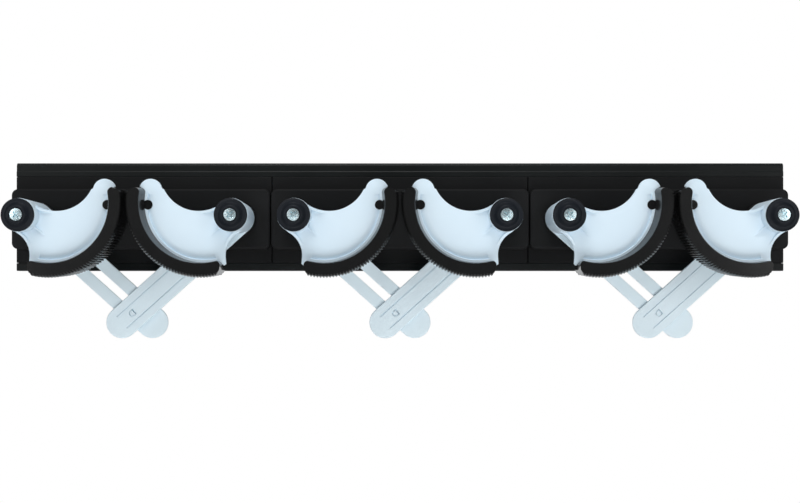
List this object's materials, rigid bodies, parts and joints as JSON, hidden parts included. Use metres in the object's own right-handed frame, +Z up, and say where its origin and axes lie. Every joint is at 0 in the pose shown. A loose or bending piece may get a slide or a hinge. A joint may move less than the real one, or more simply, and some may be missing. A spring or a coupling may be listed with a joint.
{
  "type": "tool hanger rail",
  "caption": "Black wall rail with white gravity-grip jaw holders whose toothed rubber treads close on a tool handle and crossed arms hang below",
  "frame": {"origin": "midway between the middle holder's two wall screw holes, on the wall plane, at the height of the pivots", "axes": "+X along the rail to the right as seen from the front, -Y out of the wall to the front, +Z up"},
  "size_m": [0.5, 0.0723, 0.1133],
  "materials": {
    "rail_black": "satin",
    "base_black": "satin",
    "jaw_white": "satin",
    "tread_rubber": "matte",
    "arm_white": "satin",
    "knob_black": "satin",
    "screw_zinc": "zinc plated"
  },
  "bodies": {
    "rail_and_bases": {"rail": "rail_black", "base_1": "base_black", "base_2": "base_black", "base_3": "base_black", "post_left_1": "base_black", "post_left_2": "base_black", "post_left_3": "base_black", "post_right_1": "base_black", "post_right_2": "base_black", "post_right_3": "base_black", "knob_left_1": "knob_black", "knob_left_2": "knob_black", "knob_left_3": "knob_black", "knob_right_1": "knob_black", "knob_right_2": "knob_black", "knob_right_3": "knob_black", "screw_left_1": "screw_zinc", "screw_left_2": "screw_zinc", "screw_left_3": "screw_zinc", "screw_right_1": "screw_zinc", "screw_right_2": "screw_zinc", "screw_right_3": "screw_zinc"},
    "jaw_left_1": {"jaw_left_1": "jaw_white", "tread_left_1": "tread_rubber", "arm_left_1": "arm_white"},
    "jaw_right_1": {"jaw_right_1": "jaw_white", "tread_right_1": "tread_rubber", "arm_right_1": "arm_white"},
    "jaw_left_2": {"jaw_left_2": "jaw_white", "tread_left_2": "tread_rubber", "arm_left_2": "arm_white"},
    "jaw_right_2": {"jaw_right_2": "jaw_white", "tread_right_2": "tread_rubber", "arm_right_2": "arm_white"},
    "jaw_left_3": {"jaw_left_3": "jaw_white", "tread_left_3": "tread_rubber", "arm_left_3": "arm_white"},
    "jaw_right_3": {"jaw_right_3": "jaw_white", "tread_right_3": "tread_rubber", "arm_right_3": "arm_white"}
  },
  "joints": [
    {"name": "jaw_left_1_pivot", "type": "hinge", "parent": "rail_and_bases", "child": "jaw_left_1", "pos_m": [-0.23097, 0, 0], "axis": [0, -1, 0], "range_deg": [0, 75]},
    {"name": "jaw_right_1_pivot", "type": "hinge", "parent": "rail_and_bases", "child": "jaw_right_1", "pos_m": [-0.10237, 0, 0], "axis": [0, 1, 0], "range_deg": [0, 75]},
    {"name": "jaw_left_2_pivot", "type": "hinge", "parent": "rail_and_bases", "child": "jaw_left_2", "pos_m": [-0.0643, 0, 0], "axis": [0, -1, 0], "range_deg": [0, 75]},
    {"name": "jaw_right_2_pivot", "type": "hinge", "parent": "rail_and_bases", "child": "jaw_right_2", "pos_m": [0.0643, 0, 0], "axis": [0, 1, 0], "range_deg": [0, 75]},
    {"name": "jaw_left_3_pivot", "type": "hinge", "parent": "rail_and_bases", "child": "jaw_left_3", "pos_m": [0.10237, 0, 0], "axis": [0, -1, 0], "range_deg": [0, 75]},
    {"name": "jaw_right_3_pivot", "type": "hinge", "parent": "rail_and_bases", "child": "jaw_right_3", "pos_m": [0.23097, 0, 0], "axis": [0, 1, 0], "range_deg": [0, 75]}
  ],
  "couplings": [
    {"joint": "jaw_right_1_pivot", "follows": "jaw_left_1_pivot", "ratio": 1},
    {"joint": "jaw_right_2_pivot", "follows": "jaw_left_2_pivot", "ratio": 1},
    {"joint": "jaw_right_3_pivot", "follows": "jaw_left_3_pivot", "ratio": 1}
  ]
}
